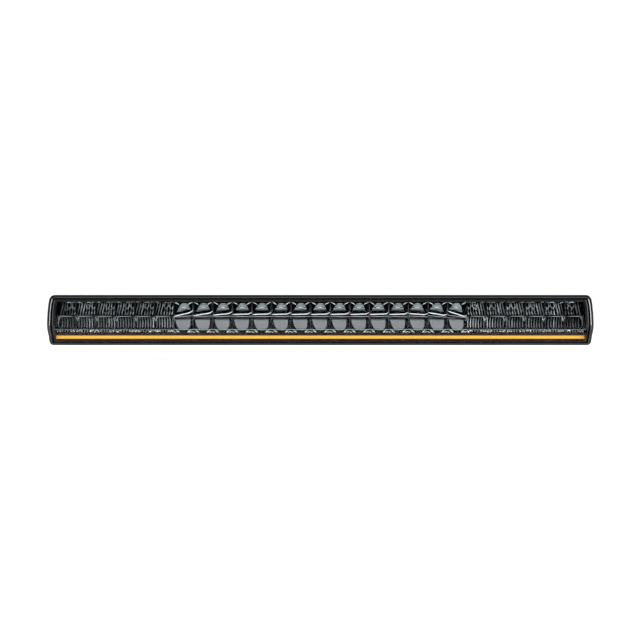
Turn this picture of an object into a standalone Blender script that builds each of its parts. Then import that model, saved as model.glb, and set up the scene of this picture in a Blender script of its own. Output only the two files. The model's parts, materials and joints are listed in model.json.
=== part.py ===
"""Double-row LED light bar with an amber position-light strip under the main rows.

A finned aluminium housing carries a T-shaped heat rail, whose LEDs shine up and down into half-bowl
reflectors behind a clear cover in a black bezel. Two swivelling feet slide in a slotted rail at the back.

Metres, +Z up, the lit face towards -Y, and +X to the right as seen from the front. The origin is the
middle of the footprint, at the bottom. A depth counts backwards from the foremost plane of the bezel.
"""

import math

import bmesh
import bpy
from mathutils import Matrix

MM = 0.001
GAP = 0.3 * MM  # between pieces that meet
PAST = 1 * MM  # how far a cutter runs past the face it opens

# Overall
LENGTH = 812 * MM
HEIGHT = 75 * MM
CREASE_Z = 23.8 * MM  # the front leans back below this height
RAKE = math.radians(16)
OUTLINE = (  # right half of the front outline, from the bottom: x, z, corner radius
    (403.6 * MM, 0, 6.0 * MM),
    (404.3 * MM, 14 * MM, 0),
    (405.6 * MM, 24 * MM, 0),
    (LENGTH / 2, 31 * MM, 0),
    (405.3 * MM, 47 * MM, 0),
    (404.0 * MM, 60 * MM, 0),
    (401.6 * MM, HEIGHT, 9.0 * MM),
)

# Bezel, cover and seal
BEZEL_END = 5.4 * MM
BEZEL_TOP = 5.7 * MM
BEZEL_BOTTOM = 4.0 * MM
BEZEL_RIM = 12 * MM  # depth of the part around the window
BEZEL_DEPTH = 18 * MM
BEZEL_ROUND = 2.2 * MM
SKIRT = 2.5 * MM
LENS_RECESS = 1.6 * MM
LENS_FRONT = 3.0 * MM
LENS_SIDE = 1.8 * MM
LENS_FIT = 0.4 * MM
LENS_ROUND = 1.0 * MM
FLANGE = 3.0 * MM
SEAL = 2.2 * MM
SEAL_WIDTH = 4.2 * MM

# Housing: the walls around the inside, then the fins
BODY_FRONT = BEZEL_DEPTH + GAP
BODY_HALF = 397 * MM
BODY_TOP = HEIGHT - 0.5 * MM
LANDING_TOP = 66.6 * MM
LANDING_BOTTOM = 8.6 * MM
LANDING_BACK = 27.8 * MM
ROOF = 71 * MM
FLOOR = 3 * MM
CORNER = 41 * MM  # front of the thick corners that take the rear screws
CORNER_HIGH = 60.5 * MM
CORNER_LOW = 12 * MM
WALL_INNER = 46 * MM
WALL_BACK = 50 * MM
FIN = 2.0 * MM
FIN_PITCH = 7.0 * MM
FIRST_FIN_Z = 33.5 * MM
FIN_TIPS = (76.5 * MM, 76.5 * MM, 75.0 * MM, 71.0 * MM, 64.0 * MM)
BAY_HALF = 36 * MM  # half the bay in the fins that leaves room for the gland and the breather

# End caps and their screws
END_GASKET = 1.0 * MM
CAP_INNER = BODY_HALF + 2 * GAP + END_GASKET
CAP_OUTER = 402.4 * MM
CAP_DEPTH = 78 * MM
CAP_ROUND = 1.2 * MM
CAP_SECTION = (  # depth, z, corner radius
    (BODY_FRONT, 0, 0),
    (67.5 * MM, 0, 4 * MM),
    (68.5 * MM, 28 * MM, 3 * MM),
    (CAP_DEPTH, 32.5 * MM, 3 * MM),
    (CAP_DEPTH, 50 * MM, 6 * MM),
    (70 * MM, 62 * MM, 5 * MM),
    (57 * MM, 72.4 * MM, 6 * MM),
    (40 * MM, HEIGHT - 0.8 * MM, 0),
    (BODY_FRONT, HEIGHT - 0.5 * MM, 0),
)
END_SCREWS = ((23.6 * MM, 69.6 * MM), (23.2 * MM, 5.2 * MM), (45.6 * MM, 65 * MM), (45.6 * MM, 7.4 * MM))
END_SCREW_R = 1.6 * MM
END_HOLE_R = 1.9 * MM
END_SCREW = 14 * MM
END_HEAD_R = 3.0 * MM
END_HEAD = 2.0 * MM
END_POCKET_R = 3.3 * MM
END_POCKET = 2.4 * MM

# Optics
COLUMNS = 27
MODULE = 3  # columns in one moulding
FLUTED_MODULES = 2  # spreading optics at each end
FIELD_HALF = 394.1 * MM
PITCH = 2 * FIELD_HALF / COLUMNS
OPTIC_FRONT = 8.8 * MM
OPTIC_BACK = 40 * MM
OPTIC_LOW = 18.8 * MM
OPTIC_HIGH = 66.2 * MM
DIVIDE_Z = 43 * MM
DIVIDER = 1.6 * MM
UPPER_AXIS_Z = 49.2 * MM
LOWER_AXIS_Z = 36.4 * MM
BOWL_R = 12.6 * MM
BOWL = 27 * MM
EDGE_WALL = 1.8 * MM
FLUTED_TAPER = 0.62  # size of the back of a spreading optic, against its front
STACK = 7.8 * MM  # height of the slot that takes the rail and its boards
STACK_FRONT = 18.5 * MM
RAIL_WEB = 3.0 * MM
RAIL_FLANGE = 3.1 * MM
RAIL_LOW = 28 * MM
RAIL_HIGH = 58 * MM
PAD = 0.7 * MM
BOARD = 1.0 * MM
CHIP = 3.4 * MM
CHIP_HIGH = 1.0 * MM
CHIP_DEPTH = 29 * MM
BOARDS = 3

# Position light and driver
GUIDE_LOW = 9.1 * MM
GUIDE_HIGH = 15.1 * MM
GUIDE_FRONT = 10.4 * MM
GUIDE_BACK = 16.4 * MM
GUIDE_HALF = 393.2 * MM
TRAY_FRONT = 12.4 * MM
TRAY_LOW = 7.6 * MM
TRAY_HIGH = 18.4 * MM
POSITION_LEDS = 18
POSITION_LED = 2.8 * MM
DRIVER_HALF = 150 * MM
DRIVER_GROUPS = 5

# Cable gland and breather, side by side in the bay
GLAND_X = -14 * MM
GLAND_Z = 51 * MM
GLAND_THREAD_R = 7.8 * MM
GLAND_BORE_R = 4.2 * MM
GLAND_COLLAR_R = 6.4 * MM
GLAND_FLANGE = 55 * MM
WIRE_R = 5.5 * MM
BREATHER_X = 18 * MM
BREATHER_THREAD_R = 4.0 * MM
BREATHER_AIR_R = 3.0 * MM

# Slotted rail and feet
SLOT_Z = 18 * MM
RAIL_BACK = 66 * MM
SLOT_NECK = 8.6 * MM
SLOT_WIDE = 16 * MM
SLOT_LIP = 3.0 * MM
SLOT_DEEP = 9.5 * MM
RAIL_WALL = 2.6 * MM
SLOT_PLAY = 0.4 * MM
FOOT_X = 250 * MM
PIVOT = 82 * MM
FOOT_REACH = 32 * MM
FOOT_PLATE = 4 * MM
FOOT_WIDTH = 46 * MM
FOOT_HEIGHT = 35 * MM
FOOT_CORNER = 5 * MM
EAR = 4 * MM
LUG = 20 * MM
LUG_R = 9 * MM
EAR_INNER = LUG / 2 + 0.4 * MM
EAR_OUTER = EAR_INNER + EAR
SLIDER_HALF = 29 * MM
SLIDER_PAD = 3.6 * MM
CLAMP_X = 22.5 * MM
CLAMP_R = 2.5 * MM
CLAMP_HOLE_R = 2.8 * MM
CLAMP_HEAD_R = 4.6 * MM
CLAMP_HEAD = 3.2 * MM
PIVOT_R = 4.0 * MM
PIVOT_HOLE_R = 4.3 * MM
WASHER_R = 8 * MM
WASHER = 1.4 * MM
NUT_R = 7.4 * MM
NUT = 6.4 * MM
BOLT_SLOT_R = 5.25 * MM
BOLT_SLOT = 22 * MM

OVERALL_DEPTH = PIVOT + FOOT_REACH

MATERIALS = {  # colour, roughness, metallic
    "black_aluminium": ((0.016, 0.017, 0.019), 0.45, 0.3),
    "gloss_black": ((0.010, 0.011, 0.013), 0.12, 0.0),
    "clear_cover": ((0.75, 0.80, 0.82), 0.03, 0.0),
    "seal_rubber": ((0.020, 0.020, 0.020), 0.80, 0.0),
    "reflector": ((0.50, 0.54, 0.55), 0.12, 1.0),
    "bare_aluminium": ((0.66, 0.67, 0.68), 0.35, 1.0),
    "white_board": ((0.80, 0.81, 0.79), 0.50, 0.0),
    "green_board": ((0.020, 0.130, 0.060), 0.45, 0.0),
    "amber_guide": ((1.0, 0.50, 0.06), 0.25, 0.0),
    "black_plastic": ((0.012, 0.012, 0.013), 0.40, 0.0),
    "black_nylon": ((0.018, 0.018, 0.019), 0.55, 0.0),
    "thermal_pad": ((0.35, 0.42, 0.52), 0.85, 0.0),
    "steel": ((0.50, 0.50, 0.51), 0.30, 1.0),
    "black_steel": ((0.022, 0.023, 0.025), 0.40, 0.4),
}


def world_y(depth):
    return depth - OVERALL_DEPTH / 2


def clear_scene():
    for obj in list(bpy.data.objects):
        bpy.data.objects.remove(obj)


def collection(name):
    made = bpy.data.collections.new(name)
    bpy.context.scene.collection.children.link(made)
    return made


def material(slot):
    made = bpy.data.materials.get(slot)
    if made is None:
        colour, roughness, metallic = MATERIALS[slot]
        made = bpy.data.materials.new(slot)
        made.use_nodes = True
        made.diffuse_color = (*colour, 1)
        shader = made.node_tree.nodes["Principled BSDF"]
        shader.inputs["Base Color"].default_value = (*colour, 1)
        shader.inputs["Roughness"].default_value = roughness
        shader.inputs["Metallic"].default_value = metallic
    return made


clear_scene()
PARTS = collection("led_light_bar")
CUTTERS = collection("cutters")


# Solids. Each takes a material slot, or None for a cutter or a solid that is joined to another.


def place(name, slot, shape, matrix):
    mesh = bpy.data.meshes.new(name)
    bmesh.ops.recalc_face_normals(shape, faces=shape.faces)
    shape.to_mesh(mesh)
    shape.free()
    obj = bpy.data.objects.new(name, mesh)
    obj.matrix_world = matrix
    if slot is None:
        CUTTERS.objects.link(obj)
        obj.hide_render = True
        obj.display_type = "WIRE"
    else:
        PARTS.objects.link(obj)
        mesh.materials.append(material(slot))
    return obj


def box(name, slot, low, high):
    """A box between two corners, each given as x, depth and z."""
    size = [b - a for a, b in zip(low, high)]
    x, depth, z = [(a + b) / 2 for a, b in zip(low, high)]
    shape = bmesh.new()
    bmesh.ops.create_cube(shape, size=1, matrix=Matrix.Diagonal((*size, 1)))
    return place(name, slot, shape, Matrix.Translation((x, world_y(depth), z)))


def rod(name, slot, axis, radius, span, across, sides=16, end_radius=None):
    """A cylinder or cone along X, across=(depth, z), or along Y, across=(x, z). Its span is two x values
    in either order, or two depths."""
    start, end = sorted(span)
    middle = (start + end) / 2
    if axis == "X":
        where = (middle, world_y(across[0]), across[1])
        turn = Matrix.Rotation(math.pi / 2, 4, "Y")
    else:
        where = (across[0], world_y(middle), across[1])
        turn = Matrix.Rotation(-math.pi / 2, 4, "X")
    shape = bmesh.new()
    bmesh.ops.create_cone(
        shape,
        cap_ends=True,
        segments=sides,
        radius1=radius,
        radius2=radius if end_radius is None else end_radius,
        depth=end - start,
    )
    obj = place(name, slot, shape, Matrix.Translation(where) @ turn)
    obj.data.shade_smooth()
    obj.data.set_sharp_from_angle(angle=math.radians(40))
    return obj


def extrude(name, slot, loops, span, along):
    """A flat outline with holes, made solid over a span. Along Y its points are x and z, and the span
    two depths. Along X they are depth and z, and the span two x values in either order."""
    start, end = sorted(span)
    middle = (start + end) / 2
    curve = bpy.data.curves.new(name, "CURVE")
    curve.dimensions = "2D"
    curve.fill_mode = "BOTH"
    curve.extrude = (end - start) / 2
    for loop in loops:
        spline = curve.splines.new("POLY")
        spline.points.add(len(loop) - 1)
        for point, (a, b) in zip(spline.points, loop):
            point.co = (a, b, 0, 1)
        spline.use_cyclic_u = True
    upright = Matrix.Rotation(math.pi / 2, 4, "X")
    if along == "Y":
        matrix = Matrix.Translation((0, world_y(middle), 0)) @ upright
    else:
        matrix = Matrix.Translation((middle, world_y(0), 0)) @ Matrix.Rotation(math.pi / 2, 4, "Z") @ upright
    flat = bpy.data.objects.new(name, curve)
    CUTTERS.objects.link(flat)
    bpy.context.view_layer.update()
    solid = bpy.data.meshes.new_from_object(flat.evaluated_get(bpy.context.evaluated_depsgraph_get()))
    bpy.data.objects.remove(flat)
    shape = bmesh.new()
    shape.from_mesh(solid)
    bmesh.ops.remove_doubles(shape, verts=shape.verts, dist=0.01 * MM)
    return place(name, slot, shape, matrix)


def boolean(obj, other, operation):
    modifier = obj.modifiers.new(other.name, "BOOLEAN")
    modifier.object = other
    modifier.operation = operation
    return obj


def cut(obj, *cutters):
    for cutter in cutters:
        boolean(obj, cutter, "DIFFERENCE")
    return obj


def join(obj, *others):
    for other in others:
        boolean(obj, other, "UNION")
    return obj


def bevel(obj, width, segments=2):
    modifier = obj.modifiers.new("rounded edges", "BEVEL")
    modifier.width = width
    modifier.segments = segments
    modifier.limit_method = "ANGLE"
    modifier.angle_limit = math.radians(40)
    return obj


def rounded(corners, steps=4):
    """A closed outline through corners given as a, b and radius, with an arc at each corner."""
    points = []
    for i, (a, b, radius) in enumerate(corners):
        if not radius:
            points.append((a, b))
            continue
        before, after = corners[i - 1], corners[(i + 1) % len(corners)]
        to_before = math.atan2(before[1] - b, before[0] - a)
        to_after = math.atan2(after[1] - b, after[0] - a)
        opening = (to_after - to_before + math.pi) % (2 * math.pi) - math.pi
        middle = to_before + opening / 2
        reach = radius / math.sin(abs(opening) / 2)
        centre = (a + reach * math.cos(middle), b + reach * math.sin(middle))
        sweep = math.copysign(math.pi - abs(opening), opening)
        for step in range(steps + 1):
            angle = middle + math.pi + sweep * (0.5 - step / steps)
            points.append((centre[0] + radius * math.cos(angle), centre[1] + radius * math.sin(angle)))
    return points


def face_outline(end, top, bottom):
    """The front outline, moved in by these amounts at the ends, the top and the bottom."""
    small = 2 * MM
    low, high = OUTLINE[0], OUTLINE[-1]
    right = [(low[0] - end, bottom, max(low[2] - end, small))]
    right += [(x - end, z, 0) for x, z, _ in OUTLINE[1:-1]]
    right.append((high[0] - end, HEIGHT - top, max(high[2] - end, small)))
    left = [(-x, z, radius) for x, z, radius in reversed(right)]
    return rounded(right + left)


def window(more=0.0):
    """The bezel's opening, moved in by this much more."""
    return face_outline(BEZEL_END + more, BEZEL_TOP + more, BEZEL_BOTTOM + more)


def shape_front(obj, width=0.0):
    """Rounds the front edges of a piece extruded along Y, and leans its front back below the crease.
    In its own frame such a piece has its height along Y and its front towards +Z."""
    shape = bmesh.new()
    shape.from_mesh(obj.data)
    geometry = shape.verts[:] + shape.edges[:] + shape.faces[:]
    bmesh.ops.bisect_plane(shape, geom=geometry, plane_co=(0, CREASE_Z, 0), plane_no=(0, 1, 0), dist=1e-6)
    front = max(vert.co.z for vert in shape.verts)
    if width:
        edges = [
            edge
            for edge in shape.edges
            if min(vert.co.z for vert in edge.verts) > front - 1e-6 and edge.calc_face_angle(0) > 1
        ]
        bmesh.ops.bevel(shape, geom=edges, offset=width, segments=3, profile=0.5, affect="EDGES")
    for vert in shape.verts:
        if vert.co.z > front - width - 1e-6 and vert.co.y < CREASE_Z:
            vert.co.z -= (CREASE_Z - vert.co.y) * math.tan(RAKE)
    shape.to_mesh(obj.data)
    shape.free()
    return obj


# Bezel, cover and seal


def front_bezel():
    loops = [face_outline(0, 0, 0), window()]
    rim = shape_front(extrude("front_bezel", "gloss_black", loops, (0, BEZEL_DEPTH), "Y"), BEZEL_ROUND)
    rebate = [face_outline(SKIRT, SKIRT, SKIRT)]
    return cut(rim, extrude("bezel_rebate", None, rebate, (BEZEL_RIM, BEZEL_DEPTH + PAST), "Y"))


def lens():
    flange_front = BEZEL_RIM + GAP
    flange_back = flange_front + FLANGE
    depths = (LENS_RECESS, flange_front + PAST)
    pane = extrude("lens", "clear_cover", [window(LENS_FIT)], depths, "Y")
    shape_front(pane, LENS_ROUND)
    edge = SKIRT + GAP
    flange = extrude("lens_flange", None, [face_outline(edge, edge, edge)], (flange_front, flange_back), "Y")
    depths = (LENS_RECESS + LENS_FRONT, flange_back + PAST)
    hollow = extrude("lens_hollow", None, [window(LENS_FIT + LENS_SIDE)], depths, "Y")
    return cut(join(pane, flange), shape_front(hollow))


def lens_gasket():
    front = BEZEL_RIM + 2 * GAP + FLANGE
    edge = SKIRT + GAP
    inner = edge + SEAL_WIDTH
    loops = [face_outline(edge, edge, edge), face_outline(inner, inner, inner)]
    return extrude("lens_gasket", "seal_rubber", loops, (front, front + SEAL), "Y")


# Housing


def housing_section():
    """Depth and z, along the underside, up the back over the fins, forward and round the inside."""
    points = [(BODY_FRONT, 0), (WALL_BACK, 0)]
    for number, tip in enumerate(FIN_TIPS):
        z = FIRST_FIN_Z + number * FIN_PITCH
        points += [(WALL_BACK, z), (tip, z), (tip, z + FIN), (WALL_BACK, z + FIN)]
    points += [
        (WALL_BACK, 69.6 * MM),
        (56 * MM, 69.6 * MM),
        (54 * MM, 72.2 * MM),
        (40 * MM, BODY_TOP - 0.6 * MM),
        (BODY_FRONT, BODY_TOP),
        (BODY_FRONT, LANDING_TOP),
        (LANDING_BACK, LANDING_TOP),
        (LANDING_BACK, ROOF),
        (CORNER, ROOF),
        (CORNER, CORNER_HIGH),
        (WALL_INNER, CORNER_HIGH),
        (WALL_INNER, CORNER_LOW),
        (CORNER, CORNER_LOW),
        (CORNER, FLOOR),
        (LANDING_BACK, FLOOR),
        (LANDING_BACK, LANDING_BOTTOM),
        (BODY_FRONT, LANDING_BOTTOM),
    ]
    return points


def end_holes(name, side, start, end, radius):
    """Cutters for the screws of one end, between two distances from the middle."""
    return [
        rod(f"{name}_{i}", None, "X", radius, (side * start, side * end), where, 10)
        for i, where in enumerate(END_SCREWS)
    ]


def housing():
    body = extrude("housing", "black_aluminium", [housing_section()], (-BODY_HALF, BODY_HALF), "X")
    bay_top = FIRST_FIN_Z + len(FIN_TIPS) * FIN_PITCH
    low = (-BAY_HALF, WALL_BACK - 0.2 * MM, FIRST_FIN_Z - PAST)
    bay = box("fin_bay", None, low, (BAY_HALF, CAP_DEPTH, bay_top))
    wall = (WALL_INNER - PAST, WALL_BACK + PAST)
    gland_hole = rod("gland_hole", None, "Y", GLAND_THREAD_R + GAP, wall, (GLAND_X, GLAND_Z), 24)
    air_hole = rod("air_hole", None, "Y", BREATHER_THREAD_R + GAP, wall, (BREATHER_X, GLAND_Z))
    cut(body, bay, gland_hole, air_hole)
    for side in (-1, 1):
        start = CAP_OUTER - END_POCKET - END_SCREW - PAST
        cut(body, *end_holes(f"body_hole_{side}", side, start, BODY_HALF + PAST, END_HOLE_R))
    return body


def end_profile(name):
    """The rounded block that the end caps are trimmed to, as seen from the front."""
    corners = [
        (CAP_OUTER, -PAST, 0),
        (CAP_OUTER, HEIGHT - 0.5 * MM, 3.5 * MM),
        (-CAP_OUTER, HEIGHT - 0.5 * MM, 3.5 * MM),
        (-CAP_OUTER, -PAST, 0),
    ]
    return extrude(name, None, [rounded(corners)], (BODY_FRONT - PAST, CAP_DEPTH + PAST), "Y")


def end_cap(name, side):
    span = (side * CAP_INNER, side * CAP_OUTER)
    cap = bevel(extrude(name, "black_aluminium", [rounded(CAP_SECTION, 3)], span, "X"), CAP_ROUND, 1)
    boolean(cap, end_profile(f"{name}_profile"), "INTERSECT")
    cut(cap, *end_holes(f"{name}_hole", side, CAP_INNER - PAST, CAP_OUTER, END_HOLE_R))
    start = CAP_OUTER - END_POCKET
    return cut(cap, *end_holes(f"{name}_pocket", side, start, CAP_OUTER + PAST, END_POCKET_R))


def end_gasket(name, side):
    start = BODY_HALF + GAP
    end = start + END_GASKET
    sheet = extrude(name, "seal_rubber", [rounded(CAP_SECTION)], (side * start, side * end), "X")
    return cut(sheet, *end_holes(f"{name}_hole", side, start - PAST, end + PAST / 4, END_HOLE_R))


def end_screw(name, side, where):
    seat = CAP_OUTER - END_POCKET + 0.1 * MM
    top = seat + END_HEAD
    head = rod(name, "steel", "X", END_HEAD_R, (side * seat, side * top), where, 14)
    shank_span = (side * (seat + END_HEAD / 2), side * (seat - END_SCREW))
    shank = rod(f"{name}_shank", None, "X", END_SCREW_R, shank_span, where, 10)
    socket_span = (side * (top - 1.1 * MM), side * (top + PAST))
    socket = rod(f"{name}_socket", None, "X", 1.5 * MM, socket_span, where, 6)
    return cut(join(head, shank), socket)


# Optics


def trim_heights(shape, low, high):
    """Cuts a closed shape off flat below and above."""
    for height, outward in ((low, -1), (high, 1)):
        geometry = shape.verts[:] + shape.edges[:] + shape.faces[:]
        bmesh.ops.bisect_plane(
            shape,
            geom=geometry,
            dist=1e-6,
            plane_co=(0, 0, height),
            plane_no=(0, 0, outward),
            clear_outer=True,
        )
        bmesh.ops.holes_fill(shape, edges=[edge for edge in shape.edges if edge.is_boundary])


def bowl(name, x, axis_z, low, high):
    """A cutter for a deep bowl that is open at the front and cut off flat at two heights."""
    shape = bmesh.new()
    size = Matrix.Diagonal((BOWL_R, BOWL + PAST, BOWL_R, 1))
    turn = Matrix.Rotation(math.pi / 2, 4, "X")
    bmesh.ops.create_uvsphere(shape, u_segments=14, v_segments=8, radius=1, matrix=size @ turn)
    trim_heights(shape, low - axis_z, high - axis_z)
    return place(name, None, shape, Matrix.Translation((x, world_y(OPTIC_FRONT - PAST), axis_z)))


def spreader(name, x, low, high):
    """A cutter for a rectangular recess that narrows to the back."""
    shape = bmesh.new()
    depth = BOWL + PAST
    half_diagonal = math.sqrt(0.5)
    size = Matrix.Diagonal((PITCH - EDGE_WALL, 1, high - low, 1))
    turn = Matrix.Rotation(-math.pi / 2, 4, "X") @ Matrix.Rotation(math.pi / 4, 4, "Z")
    bmesh.ops.create_cone(
        shape,
        cap_ends=True,
        segments=4,
        radius1=half_diagonal,
        radius2=half_diagonal * FLUTED_TAPER,
        depth=depth,
        matrix=size @ turn,
    )
    where = (x, world_y(OPTIC_FRONT - PAST + depth / 2), (low + high) / 2)
    return place(name, None, shape, Matrix.Translation(where))


def optic_cutters(name, x, fluted):
    """The upper and the lower optic of one column."""
    upper_low = DIVIDE_Z + DIVIDER / 2
    lower_high = DIVIDE_Z - DIVIDER / 2
    upper_high = OPTIC_HIGH - EDGE_WALL
    lower_low = OPTIC_LOW + EDGE_WALL
    if fluted:
        upper = spreader(f"{name}_upper", x, upper_low, upper_high)
        return upper, spreader(f"{name}_lower", x, lower_low, lower_high)
    upper = bowl(f"{name}_upper", x, UPPER_AXIS_Z, upper_low, upper_high)
    return upper, bowl(f"{name}_lower", x, LOWER_AXIS_Z, lower_low, lower_high)


def reflector(number):
    """One moulding with an upper and a lower row of optics, and a slot behind for the LED boards."""
    name = f"reflector_{number + 1}"
    left = -FIELD_HALF + number * MODULE * PITCH
    right = left + MODULE * PITCH
    low = (left + GAP / 2, OPTIC_FRONT, OPTIC_LOW)
    block = box(name, "reflector", low, (right - GAP / 2, OPTIC_BACK, OPTIC_HIGH))
    low = (left - PAST, STACK_FRONT, DIVIDE_Z - STACK / 2)
    cut(block, box(f"{name}_slot", None, low, (right + PAST, OPTIC_BACK + PAST, DIVIDE_Z + STACK / 2)))
    fluted = not FLUTED_MODULES <= number < COLUMNS // MODULE - FLUTED_MODULES
    for column in range(MODULE):
        cut(block, *optic_cutters(f"{name}_{column}", left + (column + 0.5) * PITCH, fluted))
    return block


def heat_rail():
    """The aluminium T: a flange on the back wall, and a web that reaches between the optics."""
    back = WALL_INNER - PAD - 2 * GAP
    front = back - RAIL_FLANGE
    flange = box("heat_rail", "bare_aluminium", (-FIELD_HALF, front, RAIL_LOW), (FIELD_HALF, back, RAIL_HIGH))
    low = (-FIELD_HALF, STACK_FRONT + PAST, DIVIDE_Z - RAIL_WEB / 2)
    web = box("rail_web", None, low, (FIELD_HALF, front + PAST, DIVIDE_Z + RAIL_WEB / 2))
    span = (front - PAST, back + PAST)
    wires = rod("wire_hole", None, "Y", WIRE_R, span, (GLAND_X, GLAND_Z))
    air = rod("rail_air_hole", None, "Y", BREATHER_AIR_R, span, (BREATHER_X, GLAND_Z), 12)
    return cut(join(flange, web), wires, air)


def thermal_pad():
    back = WALL_INNER - GAP
    front = back - PAD
    pad = box("thermal_pad", "thermal_pad", (-FIELD_HALF, front, RAIL_LOW), (FIELD_HALF, back, RAIL_HIGH))
    span = (front - PAST, back + PAST / 4)
    wires = rod("pad_wire_hole", None, "Y", WIRE_R, span, (GLAND_X, GLAND_Z))
    air = rod("pad_air_hole", None, "Y", BREATHER_AIR_R, span, (BREATHER_X, GLAND_Z), 12)
    return cut(pad, wires, air)


def led_board(row, facing, number):
    """A circuit board on one face of the rail's web, with an LED for each of its optics."""
    name = f"led_board_{row}_{number + 1}"
    columns = COLUMNS // BOARDS
    left = -FIELD_HALF + number * columns * PITCH
    near = DIVIDE_Z + facing * (RAIL_WEB / 2 + 0.2 * MM)
    far = near + facing * BOARD
    low = (left + GAP / 2, STACK_FRONT + 2 * MM, min(near, far))
    board = box(name, "white_board", low, (left + columns * PITCH - GAP / 2, OPTIC_BACK, max(near, far)))
    low_z, high_z = sorted((near + facing * BOARD / 2, far + facing * CHIP_HIGH))
    for column in range(columns):
        x = left + (column + 0.5) * PITCH
        low = (x - CHIP / 2, CHIP_DEPTH - CHIP / 2, low_z)
        join(board, box(f"{name}_chip_{column}", None, low, (x + CHIP / 2, CHIP_DEPTH + CHIP / 2, high_z)))
    return board


# Position light and driver


def guide_tray():
    """The black frame that holds the light guide against its board."""
    back = GUIDE_BACK + GAP
    half = GUIDE_HALF + 0.8 * MM
    tray = box("guide_tray", "black_plastic", (-half, TRAY_FRONT, TRAY_LOW), (half, back, TRAY_HIGH))
    half = GUIDE_HALF + GAP
    low = (-half, TRAY_FRONT - PAST, GUIDE_LOW - GAP)
    return cut(tray, box("guide_slot", None, low, (half, back + PAST, GUIDE_HIGH + GAP)))


def light_guide():
    low = (-GUIDE_HALF, GUIDE_FRONT, GUIDE_LOW)
    return bevel(box("light_guide", "amber_guide", low, (GUIDE_HALF, GUIDE_BACK, GUIDE_HIGH)), 0.6 * MM, 1)


def position_board():
    back = BODY_FRONT - 0.2 * MM
    front = back - 0.8 * MM
    board = box(
        "position_board", "white_board", (-GUIDE_HALF, front, TRAY_LOW), (GUIDE_HALF, back, TRAY_HIGH - PAST)
    )
    middle = (GUIDE_LOW + GUIDE_HIGH) / 2
    reach = POSITION_LED / 2
    for i in range(POSITION_LEDS):
        x = GUIDE_HALF * ((2 * i + 1) / POSITION_LEDS - 1)
        low = (x - reach, GUIDE_BACK + 0.5 * MM, middle - reach)
        join(board, box(f"position_led_{i}", None, low, (x + reach, front + BOARD / 2, middle + reach)))
    return board


def driver_board():
    """The power board on the lower corner of the housing, with chokes, capacitors and switches."""
    back = CORNER - GAP
    front = back - 1.6 * MM
    low = (-DRIVER_HALF, front, FLOOR + 0.4 * MM)
    board = box("driver_board", "green_board", low, (DRIVER_HALF, back, 18.2 * MM))
    spacing = 2 * DRIVER_HALF / DRIVER_GROUPS
    inside = front + 0.5 * MM
    for i in range(DRIVER_GROUPS):
        x = -DRIVER_HALF + (i + 0.5) * spacing
        choke = box(f"choke_{i}", None, (x - 6 * MM, 31 * MM, 5 * MM), (x + 6 * MM, inside, 16 * MM))
        can = rod(f"can_{i}", None, "Y", 4 * MM, (30 * MM, inside), (x + 14 * MM, 10.6 * MM), 12)
        switch = box(f"switch_{i}", None, (x - 20 * MM, 36 * MM, 6 * MM), (x - 13 * MM, inside, 14 * MM))
        join(board, choke, can, switch)
    return board


# Cable gland and breather


def cable_gland():
    """The gland's body: a thread in the wall, a hexagon flange and a collar under the nut."""
    where = (GLAND_X, GLAND_Z)
    face = WALL_BACK + GAP
    flange = rod("cable_gland", "black_nylon", "Y", 11 * MM, (face, GLAND_FLANGE), where, 6)
    thread = rod("gland_thread", None, "Y", GLAND_THREAD_R, (WALL_INNER + GAP, face + 2 * MM), where, 24)
    collar = rod("gland_collar", None, "Y", GLAND_COLLAR_R, (face + 2 * MM, 61 * MM), where, 24)
    bore = rod("gland_bore", None, "Y", GLAND_BORE_R, (WALL_INNER - PAST, 62 * MM), where)
    return cut(join(flange, thread, collar), bore)


def gland_nut():
    where = (GLAND_X, GLAND_Z)
    face = GLAND_FLANGE + GAP
    nut = rod("gland_nut", "black_nylon", "Y", 10 * MM, (face, 65 * MM), where, 6)
    dome = rod("gland_dome", None, "Y", 8 * MM, (64 * MM, 69 * MM), where, 24, 5.8 * MM)
    seat = rod("gland_seat", None, "Y", GLAND_COLLAR_R + GAP, (face - PAST, 61.3 * MM), where, 24)
    bore = rod("nut_bore", None, "Y", GLAND_BORE_R, (60 * MM, 70 * MM), where)
    return cut(join(nut, dome), seat, bore)


def breather():
    where = (BREATHER_X, GLAND_Z)
    face = WALL_BACK + GAP
    cap = rod("breather", "black_nylon", "Y", 7.5 * MM, (face, GLAND_FLANGE), where, 20)
    thread = rod("breather_thread", None, "Y", BREATHER_THREAD_R, (WALL_INNER + GAP, face + PAST), where)
    return join(cap, thread)


# Slotted rail and feet


def mounting_rail():
    """A slotted rail along the back of the housing."""
    lip = RAIL_BACK - SLOT_LIP
    floor = RAIL_BACK - SLOT_DEEP
    neck = SLOT_NECK / 2
    wide = SLOT_WIDE / 2
    outer = wide + RAIL_WALL
    half = [(WALL_BACK + GAP, outer), (RAIL_BACK, outer), (RAIL_BACK, neck)]
    half += [(lip, neck), (lip, wide), (floor, wide)]
    section = [(u, SLOT_Z + z) for u, z in half] + [(u, SLOT_Z - z) for u, z in reversed(half)]
    return extrude("mounting_rail", "black_aluminium", [section], (-BODY_HALF, BODY_HALF), "X")


def clamp_holes(name, x, span, radius):
    return [
        rod(f"{name}_{i}", None, "Y", radius, span, (x + offset, SLOT_Z), 12)
        for i, offset in enumerate((-CLAMP_X, CLAMP_X))
    ]


def slot_nut(name, x):
    """The steel strip inside the slot that the clamp screws pull on."""
    wide = SLOT_WIDE / 2 - SLOT_PLAY
    front = RAIL_BACK - SLOT_DEEP + SLOT_PLAY
    back = RAIL_BACK - SLOT_LIP - SLOT_PLAY
    strip = box(
        name, "steel", (x - SLIDER_HALF, front, SLOT_Z - wide), (x + SLIDER_HALF, back, SLOT_Z + wide)
    )
    return cut(strip, *clamp_holes(f"{name}_hole", x, (front - PAST / 4, back + PAST), CLAMP_HOLE_R))


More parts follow.
